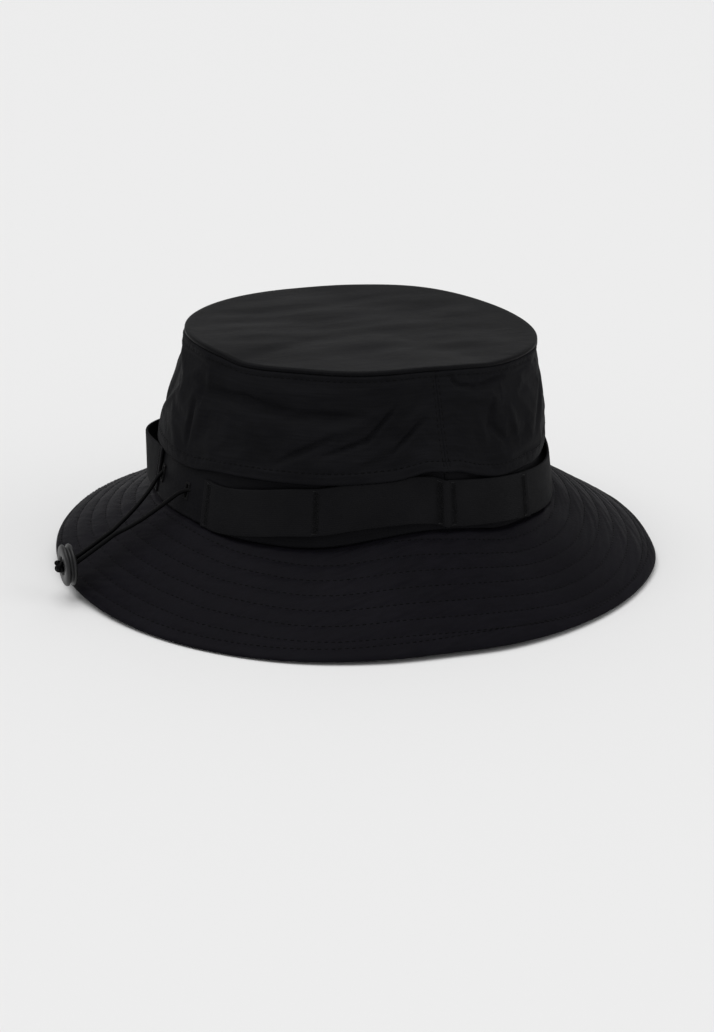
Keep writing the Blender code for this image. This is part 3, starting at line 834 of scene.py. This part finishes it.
def sew_brim(word, side):
    """The rows of stitches through the brim, seen on one of its faces."""
    def row_at(pick, start, end):
        def sample(degrees):
            run = pick(degrees)
            lift = quilt(degrees, run) - 0.3 * MM
            return on_brim(degrees, run, lift, side), brim_facing(degrees) * side

        return row_on(sample, start, end, 1.0)

    rows = [row_at(lambda degrees: brim_rows(degrees)[1], 0.0, 360.0)]
    for count in ROW_COUNTS:
        seen = [degrees for degrees in range(90, 451) if count in dict(brim_rows(float(degrees))[0])]
        if len(seen) > 3:
            def pick(degrees, count=count):
                return FIRST_ROW + ROW_PITCH * count + through_open(ROW_DRIFT, degrees) * MM

            rows.append(row_at(pick, float(seen[0]), min(float(seen[-1]), 449.0)))
    lay_stitches("brim_stitches_" + word, rows)


# ---- crown ----

# Soft creases pressed in the wall: where each starts and ends, in degrees and in shares of
# the wall's height, how wide it is and how deep, in mm
CREASES = (
    ((133.0, 0.16), (149.0, 0.42), 2.0, -2.0),
    ((146.0, 0.24), (160.0, 0.40), 1.5, -2.3),
    ((158.0, 0.38), (166.5, 0.66), 1.5, -2.3),
    ((141.0, 0.36), (160.0, 0.60), 4.5, 1.5),
    ((150.0, 0.12), (166.0, 0.34), 4.0, 1.0),
    ((165.0, 0.24), (175.0, 0.50), 1.6, -2.0),
    ((166.0, 0.40), (176.0, 0.64), 3.5, 1.0),
    ((184.5, 0.95), (187.0, 0.84), 1.5, -1.8),
    ((186.0, 0.84), (194.0, 0.80), 1.3, -2.1),
    ((193.0, 0.80), (206.0, 0.87), 1.5, -2.1),
    ((187.0, 0.72), (204.0, 0.72), 4.5, 1.3),
    ((200.0, 0.66), (198.0, 0.46), 2.4, -1.3),
    ((198.0, 0.46), (204.0, 0.28), 2.4, -1.3),
    ((194.0, 0.56), (194.5, 0.30), 4.0, 1.0),
    ((208.0, 0.62), (210.0, 0.28), 4.0, 1.2),
    ((97.0, 0.18), (98.0, 0.55), 2.2, -1.4),
    ((101.0, 0.30), (103.0, 0.80), 4.5, 1.2),
    ((102.0, 0.66), (122.0, 0.68), 4.2, -2.6),
    ((120.0, 0.67), (139.0, 0.58), 4.0, -2.8),
    ((137.0, 0.58), (157.0, 0.60), 3.2, -2.6),
    ((104.0, 0.80), (150.0, 0.80), 5.0, 1.2),
    ((116.0, 0.50), (121.0, 0.20), 3.0, -0.9),
    ((124.0, 0.48), (131.0, 0.26), 4.0, 1.0),
    ((60.0, 0.20), (78.0, 0.70), 4.0, -1.5),
    ((66.0, 0.20), (86.0, 0.60), 4.0, 1.1),
    ((20.0, 0.65), (50.0, 0.35), 3.5, -1.6),
    ((24.0, 0.40), (44.0, 0.20), 4.0, 1.2),
    ((2.0, 0.30), (14.0, 0.75), 3.5, -1.2),
    ((300.0, 0.25), (330.0, 0.70), 3.5, -1.7),
    ((312.0, 0.20), (340.0, 0.50), 4.5, 1.2),
    ((250.0, 0.70), (285.0, 0.45), 3.5, -1.6),
    ((262.0, 0.30), (290.0, 0.25), 4.0, 1.1),
    ((222.0, 0.30), (238.0, 0.70), 3.5, -1.3),
)
WALL_RUN = WALL_TOP - HEM
WALL_COLUMNS = 270
WALL_ROWS = 40
WALL_SKIN = {}
BUCKLE_FRAMES = 22
BUCKLE_LIMIT = 3.0 * MM
CLOTH_SETTINGS = {
    "quality": 6, "mass": 0.08, "tension_stiffness": 12.0, "compression_stiffness": 12.0,
    "shear_stiffness": 6.0, "bending_stiffness": 0.25, "air_damping": 4.0,
    "vertex_group_mass": "held", "pin_stiffness": 1.0, "shrink_min": -0.013,
}


def crease_depth(degrees, share):
    """The pressed creases, added up."""
    depth = 0.0
    for (start, low), (end, high), width, deep in CREASES:
        if not -30.0 < degrees - min(start, end) or degrees > max(start, end) + 30.0:
            continue
        ax, ay = arc(start), low * WALL_RUN
        bx, by = arc(end), high * WALL_RUN
        px, py = arc(degrees), share * WALL_RUN
        length = math.hypot(bx - ax, by - ay)
        along = ((px - ax) * (bx - ax) + (py - ay) * (by - ay)) / length ** 2
        across = ((px - ax) * (by - ay) - (py - ay) * (bx - ax)) / length
        taper = min(max(along, 0.0), 1.0)
        past = (along - taper) * length
        near = math.hypot(across, past)
        fullness = math.sin(math.pi * min(max(0.12 + 0.76 * taper, 0.0), 1.0))
        depth += deep * MM * fullness * math.exp(-(near / (width * MM)) ** 2 * 1.6)
    return depth


def wall_out(height):
    """How far outward the wall's outer face lies before it creases."""
    if height < BAND_TOP:
        return between(HEM_OUT, SHOULDER_OUT, (height - HEM) / (BAND_TOP - HEM))
    return between(SHOULDER_OUT, WALL_TOP_OUT, (height - BAND_TOP) / (WALL_TOP - BAND_TOP))


def wall_blank(degrees, share):
    """The wall before it buckles."""
    height = HEM + WALL_RUN * share
    fade = min(1.0, 8.0 * share, 8.0 * (1.0 - share))
    soft = noise.noise(Vector((arc(degrees) / 0.022, share * WALL_RUN / 0.016, 1.7)))
    fine = noise.noise(Vector((arc(degrees) / 0.009, share * WALL_RUN / 0.007, 5.1)))
    depth = crease_depth(degrees, share) + 0.6 * MM * soft + 0.25 * MM * fine - 0.9 * MM
    return hat_point(degrees, wall_out(height) + depth * fade, height)


def buckle_walls():
    """Let each half of the wall buckle like cloth that is a little too large for its seams."""
    halves = []
    for word, start in HALVES:
        bm = bmesh.new()
        bmesh.ops.create_grid(bm, x_segments=WALL_COLUMNS, y_segments=WALL_ROWS, size=0.5)
        spots = {}
        held = []
        for vert in bm.verts:
            column = round((vert.co.x + 0.5) * WALL_COLUMNS)
            row = round((vert.co.y + 0.5) * WALL_ROWS)
            spots[vert.index] = (column, row)
            if column in (0, WALL_COLUMNS) or row in (0, 1, WALL_ROWS - 1, WALL_ROWS):
                held.append(vert.index)
            vert.co = wall_blank(start + 180.0 * column / WALL_COLUMNS, row / WALL_ROWS)
        blank = keep_mesh("wall_blank_" + word, bm)
        halves.append((word, start, blank, spots, held))
    simulate([(blank, held) for word, start, blank, spots, held in halves])
    for word, start, blank, spots, held in halves:
        settled = {}
        for vert in blank.data.vertices:
            settled[spots[vert.index]] = vert.co.copy()
        WALL_SKIN[word] = settled
        bpy.data.objects.remove(blank, do_unlink=True)


def simulate(blanks):
    scene = bpy.context.scene
    for blank, held in blanks:
        group = blank.vertex_groups.new(name="held")
        group.add(held, 1.0, "REPLACE")
        cloth = blank.modifiers.new("buckle", "CLOTH")
        for setting, value in CLOTH_SETTINGS.items():
            setattr(cloth.settings, setting, value)
        cloth.settings.effector_weights.gravity = 0.0
        cloth.collision_settings.use_collision = False
        cloth.point_cache.frame_start = 1
        cloth.point_cache.frame_end = BUCKLE_FRAMES
    for step in range(1, BUCKLE_FRAMES + 1):
        scene.frame_set(step)
    graph = bpy.context.evaluated_depsgraph_get()
    for blank, held in blanks:
        settled = [vert.co.copy() for vert in blank.evaluated_get(graph).data.vertices]
        blank.modifiers.clear()
        for vert, place in zip(blank.data.vertices, settled):
            moved = place - vert.co
            if moved.length > BUCKLE_LIMIT:
                moved *= BUCKLE_LIMIT / moved.length
            vert.co += moved
    scene.frame_set(1)


def wall_at(degrees, share):
    """A point of the settled wall."""
    degrees = degrees % 360.0
    word, start = ("rear", 0.0) if degrees < 180.0 else ("front", 180.0)
    skin = WALL_SKIN[word]
    across = (degrees - start) / 180.0 * WALL_COLUMNS
    up = min(max(share, 0.0), 1.0) * WALL_ROWS
    column, row = min(int(across), WALL_COLUMNS - 1), min(int(up), WALL_ROWS - 1)
    low = skin[column, row].lerp(skin[column + 1, row], across - column)
    high = skin[column, row + 1].lerp(skin[column + 1, row + 1], across - column)
    return low.lerp(high, up - row)


def wall_facing(degrees, share):
    step, rise_step = 0.6, 0.02
    ahead = wall_at(degrees + step, share) - wall_at(degrees - step, share)
    up = wall_at(degrees, min(share + rise_step, 1.0)) - wall_at(degrees, max(share - rise_step, 0.0))
    return ahead.cross(up).normalized()


def pressed(distance, width, depth):
    """A stitched line's groove at a distance from it."""
    return -depth * math.exp(-(distance / width) ** 2)


def cut_walls():
    """Two wall panels, each doubled along its hem and turned in at its side seams."""
    hem_turn = 5.5 * MM
    fold = 0.55 * MM
    side_turn = 0.12 * MM

    for word, start in HALVES:
        def place(degrees, share, start=start):
            run = share * (WALL_RUN + hem_turn + 2.0 * fold) - hem_turn - 2.0 * fold
            edge = min(degrees - start, start + 180.0 - degrees)
            degrees = min(max(degrees, start + 0.005), start + 179.995)
            turned = math.exp(-arc(edge) / (0.5 * MM))
            if run >= 0.0:
                spot = wall_at(degrees, run / WALL_RUN)
                out = wall_facing(degrees, run / WALL_RUN)
                sink = -side_turn * turned
                sink += pressed(arc(edge) - SIDE_TOPSTITCH, 0.6 * MM, 0.2 * MM)
                sink += pressed(WALL_RUN - run - TIP_TOPSTITCH, 0.7 * MM, 0.35 * MM)
                sink += pressed(run - HEM_TOPSTITCH, 0.7 * MM, 0.3 * MM)
                near_top = math.exp(-(WALL_RUN - run) / (0.7 * MM))
                margin = math.exp(-((WALL_RUN - run - 2.0 * MM) / (1.2 * MM)) ** 2)
                return spot + out * (sink - 1.5 * MM * near_top + 0.6 * MM * margin)
            out = wall_facing(degrees, 0.0)
            spot = wall_at(degrees, 0.0)
            if run > -2.0 * fold:
                turn = -run / (2.0 * fold) * math.pi
                return spot + out * (fold * (math.cos(turn) - 1.0) - side_turn * turned) + Vector(
                    (0.0, 0.0, -fold * math.sin(turn)))
            up = -run - 2.0 * fold
            inside = wall_at(degrees, up / WALL_RUN)
            return inside - out * (2.0 * fold + side_turn * turned)

        panel = cut_cloth("crown_wall_cloth_" + word, start, start + 180.0, 420, 76, place, 0.057)
        dress(panel, FINISH["shell"], replaced=("crown_wall_" + word,))
        thicken(panel, 0.35 * MM)


def on_wall(degrees, share, sunk=0.3):
    """Where a stitch lies on the wall, some mm under its face, and its outward direction."""
    facing = wall_facing(degrees, share)
    return wall_at(degrees, share) + facing * -sunk * MM, facing


def sew_walls():
    top = 1.0 - TIP_TOPSTITCH / WALL_RUN
    low = HEM_TOPSTITCH / WALL_RUN
    lay_stitches("tip_topstitch", [row_on(lambda degrees: on_wall(degrees, top), 0.0, 360.0, 0.8)])
    lay_stitches("hem_topstitch",
                 [row_on(lambda degrees: on_wall(degrees, low, 0.25), 0.0, 360.0, 0.8)])
    rows = []
    for seam in (0.0, 180.0):
        for side in (-1.0, 1.0):
            at = seam + side * math.degrees(SIDE_TOPSTITCH / HALF_LENGTH)
            rows.append([on_wall(at, 0.02 + 0.90 * step / 59) for step in range(60)])
    lay_stitches("side_seam_topstitch", rows)


def tip_height(degrees, share):
    """The tip's upper face: share 0 at its middle, 1 at its edge."""
    flat = oval_point(degrees, TIP_EDGE + tip_swell(degrees), 0.0) * share
    lean = flat.x * TIP_LEAN[0] + flat.y * TIP_LEAN[1]
    wave = through(TIP_RISES, degrees) * MM * share ** 2
    sag = 1.2 * MM * (1.0 - share ** 2)
    broad = noise.noise(Vector((flat.x / 0.05, flat.y / 0.035, 2.2))) * 0.8 * MM
    ripple = noise.noise(Vector((flat.x / 0.012, flat.y / 0.030, 6.4))) * 0.6 * MM
    fade = min(1.0, 3.0 * (1.0 - share))
    return TIP_TOP - TIP_DROP + lean + wave - sag * 0.4 + (broad + ripple) * fade


def cut_tip():
    """The oval tip, rolled down into its seam."""
    roll = 1.1 * MM
    bm = bmesh.new()
    rings = 44
    row = [bm.verts.new((step / rings, 0.0, 0.0)) for step in range(rings + 1)]
    line = [bm.edges.new(pair) for pair in zip(row, row[1:])]
    bmesh.ops.spin(bm, geom=row + line, cent=(0, 0, 0), axis=(0, 0, 1), dvec=(0, 0, 0),
                   angle=2.0 * math.pi, steps=240, use_merge=True, use_duplicate=False)
    bmesh.ops.remove_doubles(bm, verts=bm.verts, dist=1e-6)
    bmesh.ops.recalc_face_normals(bm, faces=bm.faces)
    cut = bm.loops.layers.uv.new("cut")
    flat_part = 0.93
    for vert in bm.verts:
        share = math.hypot(vert.co.x, vert.co.y)
        degrees = math.degrees(math.atan2(vert.co.y, vert.co.x))
        if share <= flat_part:
            inner = share / flat_part
            edge = oval_point(degrees, TIP_EDGE + tip_swell(degrees) - roll, 0.0)
            place = edge * inner
            place.z = tip_height(degrees, inner)
        else:
            turn = (share - flat_part) / (1.0 - flat_part) * math.pi * 0.9
            out = TIP_EDGE + tip_swell(degrees) - roll + roll * math.sin(turn)
            place = oval_point(degrees, out, tip_height(degrees, 1.0) - roll * (1.0 - math.cos(turn)))
        vert.co = place
    for face in bm.faces:
        for loop in face.loops:
            loop[cut].uv = (loop.vert.co.x, loop.vert.co.y)
    if bm.faces[0].normal.z < 0:
        bmesh.ops.reverse_faces(bm, faces=bm.faces)
    bm.normal_update()
    tip = keep_mesh("crown_tip_cloth", bm)
    dress(tip, FINISH["tip"], replaced=("crown_tip",))
    thicken(tip, 0.4 * MM)


def cut_band():
    """The two halves of the band that the tape is sewn to."""
    tall = BAND_TOP - BAND_FOOT
    half_wide, half_tall = 1.2 * MM, 3.6 * MM

    def place(degrees, share):
        height = BAND_FOOT + tall * share
        slack = noise.noise(Vector((arc(degrees) / 0.02, height / 0.02, 4.4))) * 0.5 * MM
        return hat_point(degrees, band_out(height) + slack * min(1.0, 4.0 * share), height)

    def in_slit(degrees, share):
        off = abs(BAND_FOOT + tall * share - CHANNEL_HEIGHT)
        across = min(abs(arc(degrees - (90.0 + side))) for side in (-SLIT_ANGLE, SLIT_ANGLE))
        return across < half_wide and off < half_tall

    for word, start in HALVES:
        panel = cut_cloth("band_cloth_" + word, start + 0.05, start + 179.95, 360, 48, place, tall,
                          in_slit if word == "rear" else None)
        dress(panel, FINISH["shell"], replaced=("band_" + word,))
        thicken(panel, 0.6 * MM)


def work_buttonholes():
    """Close satin stitches round each slit."""
    wide, tall, rim = 0.9 * MM, 3.7 * MM, 0.9 * MM
    steps_up, steps_across = 22, 12
    marks = []
    for step in range(steps_up + 1):
        level = -tall + 2.0 * tall * step / steps_up
        marks += [((-wide, level), (-wide - rim, level)), ((wide, level), (wide + rim, level))]
    for step in range(steps_across + 1):
        side = -wide - rim + 2.0 * (wide + rim) * step / steps_across
        marks += [((side, tall), (side, tall + rim)), ((side, -tall), (side, -tall - rim))]
    for word, degrees in (("left", 90.0 - SLIT_ANGLE), ("right", 90.0 + SLIT_ANGLE)):
        def on_band(inner, outer, share, lift):
            at = degrees - math.degrees((inner[0] + (outer[0] - inner[0]) * share) / HALF_WIDTH)
            height = CHANNEL_HEIGHT + (inner[1] + (outer[1] - inner[1]) * share)
            return hat_point(at, band_out(height) + lift * MM, height)

        runs = [[on_band(inner, outer, share, lift) for share, lift in SATIN_SHAPE]
                for inner, outer in marks]
        lay_thread("buttonhole_stitches_" + word, runs, 0.19 * MM, FINISH["buttonhole"],
                   ("buttonhole_" + word,))


TAPES = (
    ("tape_right_rear", 108.0, 180.6, 0.0),
    ("tape_right_side", 180.2, 211.6, 0.0),
    ("tape_loop_right_front", 209.0, 252.4, 2.4 * MM),
    ("tape_front", 251.6, 324.4, 0.0),
    ("tape_left_side", 323.6, 396.4, 0.0),
    ("tape_loop_left_rear", 395.6, 437.5, 7.0 * MM),
)
TACKS = (
    ("right_rear_end", 110.0), ("right_rear", 144.3), ("right_seam_rear", 177.9),
    ("right_seam_front", 182.4), ("right_front", 209.6), ("front_right", 254.4), ("front", 288.0),
    ("front_left", 321.6), ("left_seam_front", 357.6), ("left_seam_rear", 2.1), ("left_rear", 33.8),
    ("left_rear_end", 75.0),
)


def tape_off(degrees, start, end, bulge):
    share = min(max((degrees - start) / (end - start), 0.0), 1.0)
    return bulge * math.sin(math.pi * share) ** 2


@functools.lru_cache(maxsize=None)
def tape_slack(degrees):
    """How far the tape lifts between two bar tacks."""
    marks = sorted(at % 360.0 for word, at in TACKS)
    at = degrees % 360.0
    after = bisect.bisect_right(marks, at)
    low = marks[after - 1] if after else marks[-1] - 360.0
    high = marks[after] if after < len(marks) else marks[0] + 360.0
    share = (at - low) / (high - low)
    pinch = math.exp(-((at - low) / 1.6) ** 2) + math.exp(-((high - at) / 1.6) ** 2)
    return 0.022 * min(high - low, 40.0) * MM * math.sin(math.pi * share) ** 2 - 0.35 * MM * pinch


def tape_point(degrees, share, off):
    """A point on the tape's lower face, share of the way up it."""
    height = TAPE_FOOT + (TAPE_TOP - TAPE_FOOT) * share
    cup = tape_slack(degrees) * (0.7 + 0.5 * share)
    side = min(hem_swell(degrees), 0.0) * (0.5 + 0.5 * share)
    out = band_out(height) + 0.7 * MM + off + cup + side
    return oval_point(degrees, out, height + tape_rise(degrees))


def cut_tapes():
    for name, start, end, bulge in TAPES:
        on_top = 1.25 * MM if name in ("tape_right_rear", "tape_right_side") else 0.0

        def place(degrees, share, start=start, end=end, bulge=bulge, on_top=on_top):
            lap = on_top * math.exp(-((end - degrees) / 3.0) ** 2)
            off = tape_off(degrees, start, end, bulge) * (0.55 + 0.45 * share) + lap
            edge = min(share, 1.0 - share) * (TAPE_TOP - TAPE_FOOT)
            off += -0.1 * MM * math.exp(-edge / (0.6 * MM))
            return tape_point(degrees, share, off + TAPE_THICKNESS)

        count = round((end - start) * 4)
        piece = cut_cloth("webbing_" + name[5:], start, end, count, 26, place, TAPE_TOP - TAPE_FOOT)
        thicken(piece, TAPE_THICKNESS)
        round_edges(piece, 0.4 * MM)
        dress(piece, FINISH["webbing"], replaced=(name,))


def tack_tapes():
    """Bar tacks: close zigzags of thread down the tape."""
    turns = 26
    half = math.degrees(1.5 * MM / HALF_LENGTH)
    for word, at in TACKS:
        loop_off = 0.0
        for name, start, end, bulge in TAPES:
            for turn in (at, at + 360.0):
                if start <= turn <= end:
                    loop_off = max(loop_off, tape_off(turn, start, end, bulge) * 0.8)
        lap = 1.0 * MM if word in ("right_seam_rear", "right_front") else 0.0
        zigzag = []
        for step in range(2 * turns + 1):
            share = 0.05 + 0.90 * step / (2 * turns)
            side = half if step % 2 else -half
            zigzag.append(tape_point(at + side, share, loop_off + 1.24 * MM + lap))
        lay_thread("bar_tack_stitches_" + word, [zigzag], 0.16 * MM, FINISH["tack"],
                   ("bar_tack_" + word,))


def strip(name, node, span, foot, top, face, columns, rows, cloth="binding"):
    """A strip of cloth inside the crown, with its outer side on a face."""
    def place(degrees, share):
        height = foot + (top - foot) * share
        slack = noise.noise(Vector((arc(degrees) / 0.018, height / 0.03, 9.0))) * 0.12 * MM
        return hat_point(degrees, face(height) + slack, height)

    slot, thickness = ("binding_tape", 0.6 * MM) if cloth == "binding" else ("sweatband_cloth", 1.0 * MM)
    piece = cut_cloth(name, *span, columns, rows, place, top - foot)
    thicken(piece, thickness)
    dress(piece, FINISH[cloth], replaced=(node,))


def line_inside():
    """The sweatband and the bound seams."""
    def lining_out(height):
        return band_out(height) - CLOTH - CHANNEL_ROOM

    def behind_band(height):
        return band_out(height) - CLOTH - GAP

    def behind_wall(height):
        return wall_out(height) - CLOTH - GAP - 2.4 * MM

    tip_foot = WALL_TOP - GAP - 9.0 * MM
    strip("sweatband_cloth", "sweatband", (90.1, 449.9), BAND_FOOT, BAND_FOOT + 0.030, lining_out,
          360, 20, "sweatband")
    strip("brim_seam_tape", "brim_seam_binding", (0.0, 360.0), BAND_FOOT, BAND_FOOT + 0.008,
          behind_band, 300, 6)
    strip("tip_seam_tape", "tip_seam_binding", (0.0, 360.0), tip_foot, WALL_TOP - GAP, behind_wall,
          300, 6)
    half = math.degrees(5.0 * MM / HALF_LENGTH)
    for word, at in (("left", 0.0), ("right", 180.0)):
        strip("side_seam_tape_" + word, "side_seam_binding_" + word, (at - half, at + half),
              BAND_TOP + GAP, tip_foot - GAP, behind_wall, 12, 24)
    rows = []
    for high in (2.0 * MM, 27.5 * MM):
        def sample(degrees, height=BAND_FOOT + high):
            spot = hat_point(degrees, lining_out(height) - 1.05 * MM, height)
            return spot, -oval_axes(degrees)[1]

        rows.append(row_on(sample, 91.0, 449.0, 1.0))
    lay_stitches("sweatband_stitches", rows)


# ---- making it ----

FINISH = {}


def mix_finishes():
    FINISH["tip"] = nylon("tip_cloth", (0.0028, 0.0028, 0.0032), (0.0055, 0.0055, 0.0064), True,
                          slub=(900.0, 50.0), roughness=(0.34, 0.55), specular=0.035, sheen=0.001,
                          crinkle=0.35)
    FINISH["shell"] = nylon("shell_cloth", (0.0048, 0.0048, 0.0055), (0.0085, 0.0085, 0.0098), True,
                            roughness=(0.55, 0.72), specular=0.025, sheen=0.0, crinkle=0.5)
    FINISH["brim"] = nylon("brim_cloth", (0.0039, 0.0036, 0.0050), (0.0066, 0.0061, 0.0084), False,
                           slub=(500.0, 120.0), specular=0.030, sheen=0.0)
    FINISH["webbing"] = webbing_finish()
    FINISH["thread"] = thread_finish("thread", (0.0022, 0.0022, 0.0024), specular=0.06)
    # Painted light: the bar tacks are the same black thread, coloured several times lighter to offset
    # the shade the close zigzag casts on itself and to paint in its lighter dashes.
    FINISH["tack"] = thread_finish("tack_thread_painted_light", (0.016, 0.016, 0.017), specular=0.15)
    FINISH["buttonhole"] = thread_finish("buttonhole_thread", (0.0045, 0.0045, 0.0048), specular=0.05)
    FINISH["cord"] = thread_finish("elastic_cord", (0.0016, 0.0016, 0.0018), specular=0.05)
    FINISH["interlining"] = thread_finish("interlining", (0.45, 0.45, 0.43), 0.85)
    FINISH["sweatband"] = nylon("sweatband_cloth", (0.006, 0.006, 0.0066), (0.010, 0.010, 0.011),
                                True, specular=0.06, sheen=0.002)
    FINISH["binding"] = nylon("binding_tape", (0.006, 0.006, 0.0064), (0.009, 0.009, 0.0095), True,
                              specular=0.06, sheen=0.002)
    FINISH["lock"] = lock_finish()


stand_camera()
light_studio()
mix_finishes()
run_cords()
lay_floor()
buckle_walls()
cut_walls()
sew_walls()
cut_tip()
cut_band()
work_buttonholes()
cut_tapes()
tack_tapes()
cut_brim()
line_inside()
